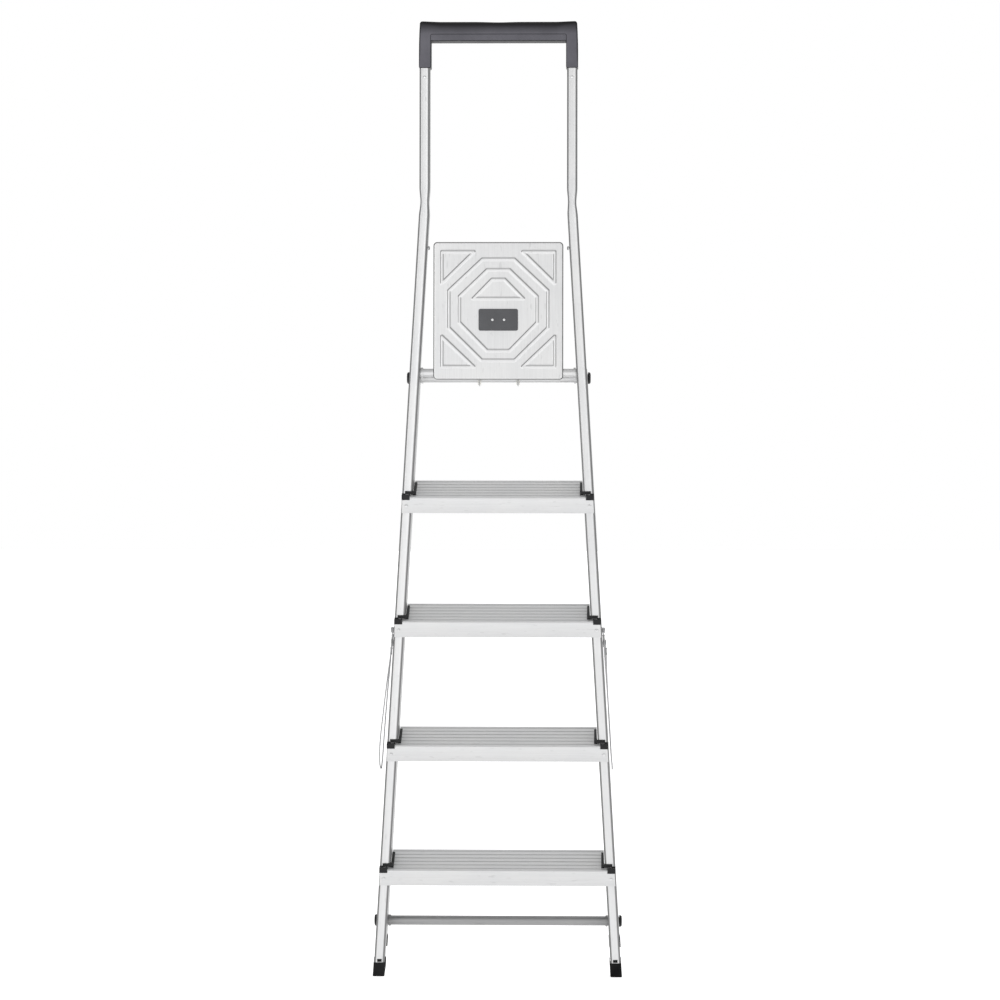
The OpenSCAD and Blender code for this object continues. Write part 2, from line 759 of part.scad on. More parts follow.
stile(LEFT);  // stile_left
stile(RIGHT);  // stile_right
tread(1);  // tread_1
tread(2);  // tread_2
tread(3);  // tread_3
tread(4);  // tread_4
tread_cap(1, LEFT);  // tread_cap_1_left
tread_cap(2, LEFT);  // tread_cap_2_left
tread_cap(3, LEFT);  // tread_cap_3_left
tread_cap(4, LEFT);  // tread_cap_4_left
tread_cap(1, RIGHT);  // tread_cap_1_right
tread_cap(2, RIGHT);  // tread_cap_2_right
tread_cap(3, RIGHT);  // tread_cap_3_right
tread_cap(4, RIGHT);  // tread_cap_4_right
tread_rivets();
handle_grip();
handle_rivets();
front_foot(LEFT);  // front_foot_left
front_foot(RIGHT);  // front_foot_right
platform_tube();
rest_stud(LEFT);  // rest_stud_left
rest_stud(RIGHT);  // rest_stud_right
cord_stud_front(LEFT);  // cord_stud_front_left
cord_stud_front(RIGHT);  // cord_stud_front_right
platform_plate();
latch_plate();
latch_rivets();
slide_bracket();
tube_latch();
glide_bush(LEFT);  // glide_bush_left
glide_bush(RIGHT);  // glide_bush_right
rear_leg(LEFT);  // rear_leg_left
rear_leg(RIGHT);  // rear_leg_right
frame_tube(rear_tube_z);  // rear_top_tube
frame_tube(cross_tube_z);  // rear_cross_tube
tube_cap(LEFT, rear_tube_z);  // tube_cap_top_left
tube_cap(RIGHT, rear_tube_z);  // tube_cap_top_right
tube_cap(LEFT, cross_tube_z);  // tube_cap_bottom_left
tube_cap(RIGHT, cross_tube_z);  // tube_cap_bottom_right
rear_foot(LEFT);  // rear_foot_left
rear_foot(RIGHT);  // rear_foot_right
cord_stud_rear(LEFT);  // cord_stud_rear_left
cord_stud_rear(RIGHT);  // cord_stud_rear_right
cord(LEFT, left_front, [0, 1, 0]);  // cord_front_left
cord(RIGHT, right_front, [0, 1, 0]);  // cord_front_right
cord(LEFT, left_rear, [0, -1, 0]);  // cord_rear_left
cord(RIGHT, right_rear, [0, -1, 0]);  // cord_rear_right
cord_ferrule(LEFT, left_front);  // cord_ferrule_front_left
cord_ferrule(RIGHT, right_front);  // cord_ferrule_front_right
cord_ferrule(LEFT, left_rear);  // cord_ferrule_rear_left
cord_ferrule(RIGHT, right_rear);  // cord_ferrule_rear_right
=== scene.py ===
# %% [markdown]
# # A folding step ladder in aluminium
# The ladder stands folded: two front stiles, four treads, a platform swung up flat between the
# stiles, and a rear frame hidden behind them. Every metal tube, plate and moulding comes in as an
# exact solid, already in its place. This notebook gives each one its finish, and builds again, in
# finer mesh, the pieces whose look depends on soft edges: the stiles, the pressed platform, the
# plastic handle and the side cords.

# %% Load the solids
import json
import math
import bpy
import bmesh
import numpy as np
from mathutils import Euler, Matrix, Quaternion, Vector


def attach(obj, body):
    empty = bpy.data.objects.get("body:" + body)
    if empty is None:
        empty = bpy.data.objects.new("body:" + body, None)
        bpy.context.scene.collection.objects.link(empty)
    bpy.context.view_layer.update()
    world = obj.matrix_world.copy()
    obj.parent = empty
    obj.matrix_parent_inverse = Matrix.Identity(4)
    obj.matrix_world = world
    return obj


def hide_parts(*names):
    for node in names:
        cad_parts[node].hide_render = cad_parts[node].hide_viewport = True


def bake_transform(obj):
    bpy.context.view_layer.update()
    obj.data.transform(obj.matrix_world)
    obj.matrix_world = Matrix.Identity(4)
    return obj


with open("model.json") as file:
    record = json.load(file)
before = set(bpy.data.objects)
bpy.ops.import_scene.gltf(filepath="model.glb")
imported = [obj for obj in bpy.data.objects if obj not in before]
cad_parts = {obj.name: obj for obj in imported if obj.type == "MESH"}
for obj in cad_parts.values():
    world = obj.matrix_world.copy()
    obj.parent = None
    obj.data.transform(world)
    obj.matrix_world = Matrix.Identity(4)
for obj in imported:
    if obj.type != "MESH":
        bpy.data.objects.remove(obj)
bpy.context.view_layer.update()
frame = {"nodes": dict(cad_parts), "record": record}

MM = 0.001
DEPTH = -30.4            # depths below are measured from the stiles' front faces, in millimetres
LEFT, RIGHT = -1, 1
nodes = frame["nodes"]


def at(x, depth, z):
    """A point in metres from millimetres across, behind the front faces, and up."""
    return Vector((x * MM, (depth + DEPTH) * MM, z * MM))


# %% [markdown]
# ## Camera
# A long lens from seven metres away keeps the stiles nearly parallel. The camera stands level at
# half the ladder's height and a touch to the right. It leans by less than a tenth of a degree,
# which sets the feet a little to the left of the handle.

# %% Camera
DISTANCE = 7.18
TURN = math.radians(1.45)
LEAN = math.radians(0.075)
camera = bpy.data.objects.new("camera", bpy.data.cameras.new("camera"))
bpy.context.scene.collection.objects.link(camera)
camera.data.lens, camera.data.sensor_width = 137.7, 36.0
aim = Vector((0.0040, DEPTH * MM, 0.8949))
camera.location = aim + Vector((math.sin(TURN), -math.cos(TURN), 0)) * DISTANCE
level = Euler((math.pi / 2, 0, TURN)).to_quaternion()
camera.rotation_euler = (level @ Quaternion((0, 0, 1), LEAN)).to_euler()
bpy.context.scene.camera = camera
print("camera at", tuple(round(c, 3) for c in camera.location))

# %% [markdown]
# ## Light and floor
# Bare aluminium shows what stands round it, so the room matters more than the lamps. The room
# is white at eye height and overhead, and greyer at a slant behind and to the sides, so faces
# turned to the front stay bright while the treads' tops and edges read darker. Two large panels
# in front add a gentle difference between left and right. The floor is a plain lit sheet, like
# the top of a light table, which keeps shadows faint.

# %% Light and floor
world = bpy.data.worlds.new("studio")
bpy.context.scene.world = world
world.use_nodes = True
wt = world.node_tree
wt.nodes.clear()
w_out = wt.nodes.new("ShaderNodeOutputWorld")
w_bg = wt.nodes.new("ShaderNodeBackground")
w_up = wt.nodes.new("ShaderNodeValToRGB")
w_side = wt.nodes.new("ShaderNodeValToRGB")
w_abs = wt.nodes.new("ShaderNodeMath")
w_abs.operation = "ABSOLUTE"
w_mix = wt.nodes.new("ShaderNodeMix")
w_mix.data_type, w_mix.blend_type = "RGBA", "MULTIPLY"
w_mix.inputs[0].default_value = 1.0
w_split = wt.nodes.new("ShaderNodeSeparateXYZ")
w_coord = wt.nodes.new("ShaderNodeTexCoord")
wt.links.new(w_coord.outputs["Generated"], w_split.inputs[0])
wt.links.new(w_split.outputs["Z"], w_up.inputs[0])
wt.links.new(w_split.outputs["X"], w_abs.inputs[0])
wt.links.new(w_abs.outputs[0], w_side.inputs[0])
wt.links.new(w_up.outputs[0], w_mix.inputs[6])
wt.links.new(w_side.outputs[0], w_mix.inputs[7])
wt.links.new(w_mix.outputs[2], w_bg.inputs["Color"])
wt.links.new(w_bg.outputs[0], w_out.inputs["Surface"])


def set_ramp(node, stops):
    """Gives a colour ramp its stops: pairs of a place from 0 to 1 and a grey or a colour."""
    rgba = [(c, c, c, 1) if isinstance(c, (int, float)) else (*c, 1) for _, c in stops]
    e = node.color_ramp.elements
    e[0].position, e[0].color = stops[0][0], rgba[0]
    e[1].position, e[1].color = stops[-1][0], rgba[-1]
    for (place, _), c in list(zip(stops, rgba))[1:-1]:
        e.new(place).color = c


set_ramp(w_up, [(0.16, 1.0), (0.40, 0.84), (0.66, 0.74), (0.74, 0.78), (0.96, 1.0)])
set_ramp(w_side, [(0.45, 1.0), (0.75, 0.72), (1.0, 0.60)])
w_bg.inputs["Strength"].default_value = 1.0
bpy.context.scene.view_settings.view_transform = "Standard"


def panel(name, place, size, power, target=(0, 0, 0.9)):
    light = bpy.data.lights.new(name, "AREA")
    light.shape, light.size, light.energy = "SQUARE", size, power
    o = bpy.data.objects.new(name, light)
    bpy.context.scene.collection.objects.link(o)
    o.location = place
    o.rotation_euler = (Vector(target) - Vector(place)).to_track_quat("-Z", "Y").to_euler()


panel("key_panel", (-2.0, -4.6, 1.5), 2.0, 26)
panel("fill_panel", (2.4, -4.2, 0.6), 1.8, 14)


def surface(name, verts, faces, smooth=True):
    """A mesh object from points in metres and lists of corners."""
    mesh = bpy.data.meshes.new(name)
    mesh.from_pydata([tuple(v) for v in verts], [], faces)
    mesh.update()
    if smooth:
        mesh.shade_smooth()
    o = bpy.data.objects.new(name, mesh)
    bpy.context.scene.collection.objects.link(o)
    return o


WIDE = 60.0               # far enough that no edge of the floor shows from any side
floor = surface("floor", [(x * WIDE, y * WIDE, -0.0004) for x, y in ((-1, -1), (1, -1), (1, 1), (-1, 1))],
                [[0, 1, 2, 3]], smooth=False)

# %% [markdown]
# ## Finishes
# Each finish is a small network: a colour that varies a little, a roughness that varies with it,
# and a fine relief. They all read the object's own coordinates, in metres, so a streak is the
# same size on every piece. The helpers below keep each network to a few lines. Several finishes
# also darken or brighten by where a face points or where it lies: painted shade and painted
# highlight, which strengthen an edge or a groove that the mesh has, not the surface's own colour.


# %% Helpers for finishes
class Finish:
    def __init__(self, name, colour, rough, metal=0.0, **more):
        self.m = bpy.data.materials.new(name)
        self.m.use_nodes = True
        self.t = self.m.node_tree
        self.s = self.t.nodes["Principled BSDF"]
        self.s.inputs["Base Color"].default_value = (*colour, 1)
        self.s.inputs["Roughness"].default_value = rough
        self.s.inputs["Metallic"].default_value = metal
        for k, v in more.items():
            self.s.inputs[k.replace("_", " ")].default_value = v
        self.coord = self.t.nodes.new("ShaderNodeTexCoord")

    def node(self, kind, settings=None, **links):
        n = self.t.nodes.new("ShaderNode" + kind)
        for k, v in (settings or {}).items():
            if k in n.inputs:
                n.inputs[k].default_value = v
            else:
                setattr(n, k, v)
        for k, v in links.items():
            self.t.links.new(v, n.inputs[k.replace("_", " ")])
        return n

    def space(self, stretch=(1, 1, 1), source="Object"):
        return self.node("Mapping", {"Scale": stretch}, Vector=self.coord.outputs[source]).outputs[0]

    def noise(self, scale, stretch=(1, 1, 1), detail=3.0, roughness=0.55):
        return self.node("TexNoise", {"Scale": scale, "Detail": detail, "Roughness": roughness},
                         Vector=self.space(stretch)).outputs["Fac"]

    def ramp(self, value, stops):
        n = self.node("ValToRGB", Fac=value)
        set_ramp(n, stops)
        return n.outputs["Color"]

    def sum(self, a, b, op="ADD"):
        n = self.node("Math", {"operation": op})
        for i, v in enumerate((a, b)):
            if isinstance(v, (int, float)):
                n.inputs[i].default_value = v
            else:
                self.t.links.new(v, n.inputs[i])
        return n.outputs[0]

    def tint(self, a, b, fac=1.0, mode="MULTIPLY"):
        n = self.node("Mix", {"data_type": "RGBA", "blend_type": mode})
        if isinstance(fac, (int, float)):
            n.inputs[0].default_value = fac
        else:
            self.t.links.new(fac, n.inputs[0])
        for i, v in ((6, a), (7, b)):
            if isinstance(v, tuple):
                n.inputs[i].default_value = (*v, 1)
            else:
                self.t.links.new(v, n.inputs[i])
        return n.outputs[2]

    def relief(self, height, strength, size=0.0003, under=None):
        n = self.node("Bump", {"Strength": strength, "Distance": size}, Height=height)
        if under is not None:
            self.t.links.new(under, n.inputs["Normal"])
        return n.outputs[0]

    def done(self, colour=None, rough=None, normal=None):
        for socket, v in (("Base Color", colour), ("Roughness", rough), ("Normal", normal)):
            if v is not None:
                self.t.links.new(v, self.s.inputs[socket])
        return self.m


# %% [markdown]
# ### Mill-finished aluminium
# Extruded aluminium keeps fine lines from the die, all along its length. A noise stretched hard
# along one axis draws them. A second, larger noise clouds the surface where hands have dulled
# it, and sparse thin marks stand for the scratches of use. Rounded corners get painted shade, by
# how far the surface's own normal points sideways, so that they read as thin lines from far away.
# The treads get painted shade in their grip grooves and a painted highlight on the nosing; the
# platform, painted shade on its rim and on one side of each rib, and a painted highlight on the other.


# %% Aluminium
TREAD_TOP, TREAD_RISE, NOSING, TREAD_SLOPE = 200.8, 233.1, 12.0, math.radians(21.3)
GROOVE_START, GROOVE_PITCH, GROOVE_W = 7.0, 14.4, 3.2


def grooves(f, number):
    """Painted shade as dark lines in the grip grooves of one tread, measured back from its nosing up
    the slope, and a painted highlight on the nosing."""
    place = f.node("SeparateXYZ", Vector=f.coord.outputs["Object"])
    top = (TREAD_TOP + (number - 1) * TREAD_RISE) * MM
    y = f.sum(f.sum(place.outputs["Y"], (NOSING - DEPTH) * MM), math.cos(TREAD_SLOPE), "MULTIPLY")
    z = f.sum(f.sum(place.outputs["Z"], -top), math.sin(TREAD_SLOPE), "MULTIPLY")
    run = f.sum(f.sum(y, z), (GROOVE_PITCH / 2 - GROOVE_START) * MM)
    saw = f.sum(f.sum(run, 1 / (GROOVE_PITCH * MM), "MULTIPLY"), 1.0, "MODULO")
    off = f.sum(f.sum(saw, -0.5), 0.0, "ABSOLUTE")
    up = f.node("SeparateXYZ", Vector=f.coord.outputs["Normal"]).outputs["Z"]
    flat = f.node("MapRange", {"From Min": 0.80, "From Max": 0.92}, Value=up).outputs[0]
    half = GROOVE_W / GROOVE_PITCH / 2
    # Painted shade in the grooves, and a slight painted brightening between them.
    line = f.ramp(off, [(half * 0.6, 0.88), (half * 1.4, 1.17)])
    # Painted highlight on the nosing, where the normal tilts between up and forward.
    dust_and_painted_highlight = f.ramp(up, [(0.05, 1.0), (0.25, 1.25), (0.70, 1.25), (0.86, 1.0)])
    return f.tint(dust_and_painted_highlight, line, flat)


def pressed(f, colour, rim):
    """Painted shade on the platform's rim, and painted shade and highlight on its ribs' sides by the way
    that each side faces.
    """
    back = f.node("SeparateXYZ", Vector=f.coord.outputs["Object"]).outputs["Y"]
    # Painted shade on the rim, where the sheet turns over.
    edge = f.node("MapRange", {"From Min": -0.0203, "From Max": -0.0198}, Value=back).outputs[0]
    colour = f.tint(colour, f.ramp(edge, [(0.0, 1.0), (1.0, rim)]))
    # Painted shade where a rib's side faces up or sideways, painted highlight where it faces down.
    way = f.node("SeparateXYZ", Vector=f.coord.outputs["Normal"])
    side, up = f.sum(way.outputs["X"], 0.0, "ABSOLUTE"), way.outputs["Z"]
    upright = f.sum(f.sum(side, side, "MULTIPLY"), f.sum(up, up, "MULTIPLY"), "SUBTRACT")
    slant = f.sum(f.sum(up, side, "MULTIPLY"), 1.4, "MULTIPLY")
    painted_rib_shading = f.sum(f.sum(f.sum(upright, 0.0, "MAXIMUM"), slant), f.sum(up, 0.22, "MULTIPLY"))
    stops = [(0.2, 1.12), (0.49, 1.0), (0.53, 1.0), (0.85, 0.40)]
    return f.tint(colour, f.ramp(f.sum(painted_rib_shading, 0.5), stops))


def aluminium(name, tone, along, rough=0.40, corner=0.0, metal=0.8, lines=1.0, grooved=None, rim=0.0):
    f = Finish(name, (tone, tone, tone), rough, metal)
    long = {"x": (0.012, 1, 1), "z": (1, 1, 0.012)}[along]
    die = f.noise(900, long, 2.0)
    cloud = f.noise(14, (1, 1, 1), 4.0)
    marks = f.ramp(f.noise(260, {"x": (0.2, 1, 1), "z": (1, 1, 0.2)}[along], 1.0, 0.4),
                   [(0.70, 0.0), (0.74, 1.0)])
    colour = f.ramp(cloud, [(0.30, (tone * 0.955, tone * 0.96, tone * 0.97)),
                            (0.70, (tone * 1.02, tone * 1.02, tone * 1.02))])
    colour = f.tint(colour, f.ramp(die, [(0.3, 0.93), (0.7, 1.0)]))
    colour = f.tint(colour, f.ramp(marks, [(0.0, 1.0), (1.0, 0.90)]))
    # Painted shade: faces turned sideways, as on rounded corners, are darkened by how far their normal
    # points along X.
    if corner > 0:
        side = f.node("SeparateXYZ", Vector=f.coord.outputs["Normal"]).outputs["X"]
        turned = f.sum(side, 0.0, "ABSOLUTE")
        dark = 1.0 - corner
        stops = [(0.05, 1.0), (0.18, dark), (0.80, dark), (1.0, dark + 0.12)]
        colour = f.tint(colour, f.ramp(turned, stops))
    if grooved is not None:
        colour = f.tint(colour, grooves(f, grooved))
    if rim:
        colour = pressed(f, colour, rim)
    r = f.node("MapRange", {"To Min": rough - 0.07, "To Max": rough + 0.09}, Value=cloud).outputs[0]
    return f.done(colour, r, f.relief(die, 0.22 * lines, 0.0002, f.relief(marks, 0.15, 0.0001)))


# corner sets the strength of the painted shade on rounded corners.
stile_alu = aluminium("stile_aluminium_finish", 0.64, "z", 0.34, corner=0.70)
tread_alus = [aluminium(f"tread_{n}_aluminium_finish", 0.60, "x", 0.42, grooved=n) for n in (1, 2, 3, 4)]
tread_alu = tread_alus[0]
# rim sets the painted shade on the platform's rim.
plate_alu = aluminium("platform_aluminium_finish", 0.61, "z", 0.36, lines=0.5, rim=0.22)
tube_alu = aluminium("tube_aluminium_finish", 0.62, "x", 0.36)
leg_alu = aluminium("leg_aluminium_finish", 0.70, "z", 0.38, corner=0.45)
# Painted shade: the rear cross tube is the same aluminium at half the tone, as it stands in shade behind
# the front frame.
cross_alu_painted_shade = aluminium("cross_tube_painted_shade_finish", 0.31, "x", 0.38)
floor_paper = Finish("floor_paper", (0.9, 0.9, 0.9), 0.85,
                     Emission_Color=(1, 1, 1, 1), Emission_Strength=0.62)
floor.data.materials.append(floor_paper.done(
    floor_paper.ramp(floor_paper.noise(3), [(0.3, 0.92), (0.7, 0.94)]),
    normal=floor_paper.relief(floor_paper.noise(900), 0.05)))
print("aluminium finishes made")

# %% [markdown]
# ### Plastics, rubber and small metal
# Moulded plastic has a spark-eroded grain, a fine even pitting that breaks up its gloss. Rubber
# is rougher and holds pale dust in patches. Rivets and the zinc-plated bracket are steel, with
# a faint blotchy pattern from plating. The handle gets painted shade where its faces turn away
# from the front and along the top of its bar, to make its rounding read more strongly.


# %% Plastics, rubber and steel
def plastic(name, colour, rough, grain=1400, dust=0.10, depth=0.3, shine=0.30, turned=None):
    f = Finish(name, colour, rough, Specular_IOR_Level=shine)
    pits = f.noise(grain, (1, 1, 1), 2.0)
    cloud = f.noise(22, (1, 1, 1), 4.0)
    dust_and_painted_highlight = tuple(min(1, c * (1 + dust * 2) + dust * 0.05) for c in colour)
    c = f.ramp(cloud, [(0.35, colour), (0.75, dust_and_painted_highlight)])
    c = f.tint(c, f.ramp(pits, [(0.3, 0.86), (0.7, 1.0)]))
    if turned:
        # Painted shade: faces turned away from the front, and the top of the bar, are darkened.
        faced = f.node("SeparateXYZ", Vector=f.coord.outputs["Normal"]).outputs["Y"]
        c = f.tint(c, f.ramp(f.sum(faced, 0.0, "ABSOLUTE"), [(0.70, turned), (0.995, 1.0)]))
        high = f.node("SeparateXYZ", Vector=f.coord.outputs["Object"]).outputs["Z"]
        bar = f.node("MapRange", {"From Min": 1.770, "From Max": 1.793}, Value=high).outputs[0]
        c = f.tint(c, f.ramp(bar, [(0.0, 1.0), (0.45, 0.50), (0.8, 0.14), (1.0, 0.06)]))
    r = f.node("MapRange", {"To Min": rough - 0.06, "To Max": rough + 0.12}, Value=cloud).outputs[0]
    return f.done(c, r, f.relief(pits, depth, 0.0002))


def plated(name, tone, rough, scale=320):
    f = Finish(name, (tone, tone, tone), rough, 0.9)
    blot = f.node("TexVoronoi", {"Scale": scale}, Vector=f.space()).outputs["Color"]
    grey = f.node("RGBToBW", Color=blot).outputs[0]
    cloud = f.noise(60, (1, 1, 1), 3.0)
    c = f.ramp(grey, [(0.1, (tone * 0.92, tone * 0.93, tone * 0.95)), (0.9, (tone, tone, tone * 0.99))])
    c = f.tint(c, f.ramp(cloud, [(0.3, 0.88), (0.65, 1.0)]))
    r = f.node("MapRange", {"To Min": rough - 0.05, "To Max": rough + 0.10}, Value=cloud).outputs[0]
    return f.done(c, r, f.relief(cloud, 0.12, 0.0002))


black = plastic("black_plastic_finish", (0.008, 0.008, 0.009), 0.42, shine=0.24)
# turned sets the painted shade on the handle's turned faces.
grip = plastic("handle_plastic_finish", (0.092, 0.090, 0.104), 0.48, 1100, 0.12, shine=0.17, turned=0.14)
latch = plastic("latch_plastic_finish", (0.070, 0.071, 0.076), 0.50)
rubber = plastic("foot_rubber_finish", (0.0030, 0.0030, 0.0033), 0.62, 700, 0.3, 0.45, shine=0.07)
nylon = plastic("glide_nylon_finish", (0.76, 0.75, 0.71), 0.40, 1500, 0.02, 0.15)
zinc = plated("bracket_steel_finish", 0.42, 0.36)
rivet = plated("rivet_metal_finish", 0.66, 0.34, 900)
sleeve = plated("ferrule_metal_finish", 0.40, 0.38, 900)
stud = plated("stud_metal_finish", 0.34, 0.36, 900)

# %% [markdown]
# ### Braided cord
# The cord is a sleeve of fine yarns that cross each other. Two sets of slanting waves, one each
# way round, give the plait: where they meet a yarn comes to the top. They read the cord's own
# unwrapped surface, once round by its length, so the plait follows every bend.

# %% Braided cord finish
cord_f = Finish("cord_fabric_finish", (0.52, 0.52, 0.53), 0.85, Sheen_Weight=0.3)
uv = cord_f.node("SeparateXYZ", Vector=cord_f.coord.outputs["UV"])
waves = []
for way in (1, -1):
    turns = cord_f.sum(cord_f.sum(uv.outputs["X"], 4 * way * 2 * math.pi, "MULTIPLY"),
                       cord_f.sum(uv.outputs["Y"], 2400.0, "MULTIPLY"))
    waves.append(cord_f.sum(turns, 0.0, "SINE"))
plait = cord_f.sum(waves[0], waves[1], "MAXIMUM")
fuzz = cord_f.noise(2600, (1, 1, 1), 2.0)
cord_colour = cord_f.tint(cord_f.ramp(plait, [(0.0, (0.36, 0.36, 0.37)), (0.9, (0.58, 0.58, 0.59))]),
                          cord_f.ramp(fuzz, [(0.3, 0.85), (0.7, 1.0)]))
cord_finish = cord_f.done(cord_colour, None, cord_f.relief(plait, 0.6, 0.0002))

FINISH = {"stile_aluminium": stile_alu, "tread_aluminium": tread_alu, "platform_aluminium": plate_alu,
          "tube_aluminium": tube_alu, "black_plastic": black, "handle_plastic": grip,
          "latch_plastic": latch, "foot_rubber": rubber, "bracket_steel": zinc,
          "rivet_metal": rivet, "glide_nylon": nylon, "cord_fabric": cord_finish,
          "ferrule_metal": sleeve}

# %% [markdown]
# ## Side cords
# One cord each side joins the front stiles to the rear legs and stops the feet sliding apart.
# With the ladder folded it hangs slack in a long narrow loop outside the legs. A tube is swept
# along the same points that the solids follow, from the front sleeve down round the bottom of
# the loop and up to the rear sleeve.

# %% Cord routes
FRONT = {RIGHT: [(199.7, 20, 628), (201.4, 20, 600), (205, 20.5, 550), (208.5, 21.5, 500),
                 (211.5, 23.5, 450), (213.5, 26.5, 415), (215, 30, 398), (215.5, 34, 390),
                 (215.5, 39, 388)],
         LEFT: [(199.7, 20, 628), (202.6, 20, 600), (209.4, 20.5, 550), (215.4, 21.5, 500),
                (221.2, 23.5, 450), (223.4, 26.5, 415), (223, 30, 398), (222, 34, 390),
                (221, 39, 388)]}
REAR = {RIGHT: [(203.8, 58, 602), (204.5, 58, 580), (206.2, 57.5, 540), (208.8, 56.5, 490),
                (211.5, 54.5, 445), (213.5, 51, 413), (215, 47.5, 398), (215.5, 43.5, 390)],
        LEFT: [(203.8, 58, 602), (205.6, 58, 580), (209.2, 57.5, 540), (213.2, 56.5, 490),
               (216.4, 54.5, 445), (218.4, 51, 413), (219.6, 47.5, 398), (220.4, 43.5, 390)]}
CORD_D = 2.5
SLEEVE_H = 14


def through(points, per_span=8):
    """A smooth curve through points, with the same number of steps in every span."""
    p = [points[0]] + list(points) + [points[-1]]
    out = []
    for i in range(1, len(p) - 2):
        a, b, c, d = (Vector(q) for q in p[i - 1:i + 3])
        for k in range(per_span):
            u = k / per_span
            out.append(0.5 * (2 * b + (c - a) * u + (2 * a - 5 * b + 4 * c - d) * u * u
                              + (3 * b - a - 3 * c + d) * u ** 3))
    return out + [Vector(points[-1])]


def tube(name, path, radius, sides=12):
    """A round tube along a path, with its own unwrapped surface: turns across, metres along."""
    n = len(path)
    run = [0.0]
    for a, b in zip(path, path[1:]):
        run.append(run[-1] + (b - a).length)
    verts, up = [], Vector((1, 0, 0))
    radii = radius if isinstance(radius, (list, tuple)) else [radius] * n
    for i, p in enumerate(path):
        a, b = path[max(i - 1, 0)], path[min(i + 1, n - 1)]
        way = (b - a).normalized()
        up = (up - way * up.dot(way)).normalized()
        across = way.cross(up)
        for k in range(sides):
            t = 2 * math.pi * k / sides
            verts.append(p + (up * math.cos(t) + across * math.sin(t)) * radii[i])
    faces = [[i * sides + k, (i + 1) * sides + k,
              (i + 1) * sides + (k + 1) % sides, i * sides + (k + 1) % sides]
             for i in range(n - 1) for k in range(sides)]
    faces += [list(range(sides)), [(n - 1) * sides + k for k in reversed(range(sides))]]
    faces = [f[::-1] for f in faces]
    o = surface(name, verts, faces)
    layer = o.data.uv_layers.new(name="round_and_along")
    for poly in o.data.polygons:
        for li in poly.loop_indices:
            v = o.data.loops[li].vertex_index
            k = v % sides
            wrap = len(poly.vertices) == 4 and k == 0 and any(q % sides == sides - 1 for q in poly.vertices)
            layer.data[li].uv = ((1.0 if wrap else k / sides), run[v // sides])
    return o


def dress(o, slot, body=None, finish=None):
    """Gives a new piece its finish, chosen by its slot, and the body that it rides on."""
    o.data.materials.clear()
    o.data.materials.append(finish or FINISH[slot])
    if body:
        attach(o, body)
    return o


# %% [markdown]
# ### Sleeves, loops and the cords themselves
# A sleeve is a short tube whose radius changes along it, so the crimp is just a dip in a list of
# radii. The loop runs most of the way round the stud's groove. Each cord is then one tube from
# sleeve to sleeve, because a seam at the bottom of the loop would open when the ladder does. The
# left side is the right side with its X turned over, and its faces are turned back outwards.

# %% Cords, sleeves and loops
def sleeve_on(name, low, direction):
    """A crimped sleeve: a short tube with a rolled edge at each end and a flat crimp between."""
    steps = [(0, 1.5), (0.02, 2.1), (0.08, 2.35), (0.16, 2.3), (0.22, 1.95), (0.5, 1.85),
             (0.78, 1.95), (0.84, 2.3), (0.92, 2.35), (0.98, 2.1), (1, 1.5)]
    path = [low + direction * (t * SLEEVE_H * MM) for t, _ in steps]
    return tube(name, path, [r * MM for _, r in steps], 20)


def loop_round(name, centre, radius, low):
    """The cord's end: round the stud's groove and back to meet at the top of the sleeve."""
    pts = []
    for k in range(28):
        t = math.radians(-62 + k * (304 / 27))
        pts.append(centre + Vector((0, math.cos(t), math.sin(t))) * radius)
    a, b = low + Vector((0, 0.0011, 0)), low + Vector((0, -0.0011, 0))
    pts = [a] + pts + [b]
    return tube(name, pts, CORD_D / 2 * MM * 0.9, 10)


GROOVE_R = (3.6 + CORD_D / 2) * MM
STUDS = {"front": (20, 650, 195.04 + 3.1), "rear": (58, 624.5, 196.53 + 0.8 + 3.1)}
for side, word in ((LEFT, "left"), (RIGHT, "right")):
    flip = Vector((side, 1, 1))
    front = [at(*p) for p in FRONT[side]]
    rear = [at(*p) for p in REAR[side]]
    ends = []
    for pts, half in ((front, "front"), (rear, "rear")):
        up = (pts[0] - pts[1]).normalized()
        s = sleeve_on(f"cord_sleeve_{half}_{word}", pts[0], up)
        for v in s.data.vertices:
            v.co = v.co * flip
        if side == LEFT:
            s.data.flip_normals()
        dress(s, "ferrule_metal", f"cord_{half}_half_{word}")
        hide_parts(f"cord_ferrule_{half}_{word}")
        depth, z, x = STUDS[half]
        top = pts[0] + up * (SLEEVE_H - 1) * MM
        ring = loop_round(f"cord_loop_{half}_{word}", at(x, depth, z), GROOVE_R, top)
        for v in ring.data.vertices:
            v.co = v.co * flip
        if side == LEFT:
            ring.data.flip_normals()
        dress(ring, "cord_fabric", "front_frame" if half == "front" else "rear_frame")
        ends.append((s, up))
    start = [front[0] + ends[0][1] * (SLEEVE_H - 2) * MM]
    finish_at = [rear[0] + ends[1][1] * (SLEEVE_H - 2) * MM]
    path = through(start + front + rear[::-1] + finish_at, 8)
    path = [p * flip for p in path]
    line = tube(f"side_cord_{word}", path, CORD_D / 2 * MM, 12)
    dress(line, "cord_fabric")
    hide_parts(f"cord_front_{word}", f"cord_rear_{word}")
    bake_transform(line)

# %% [markdown]
# ## Stiles
# A stile is one length of rectangular tube, pinched in a press where it turns upright. It is
# drawn here as rings of its section, stacked up the ladder. Rings let the section narrow
# smoothly at the pinch, which a plain extrusion can't do. The front face has a shallow channel
# between two raised bands, and round corners.

# %% Stile section
STILE_W, STILE_D, BEND_Z = 20.0, 40.0, 1446.0
TOP_HALF, FOOT_HALF, LADDER_H = 148.3, 233.2, 1794.0


def half_w(z):
    """The front frame's outside half width at a height."""
    return TOP_HALF + max(0.0, BEND_Z - z) * (FOOT_HALF - TOP_HALF) / BEND_Z


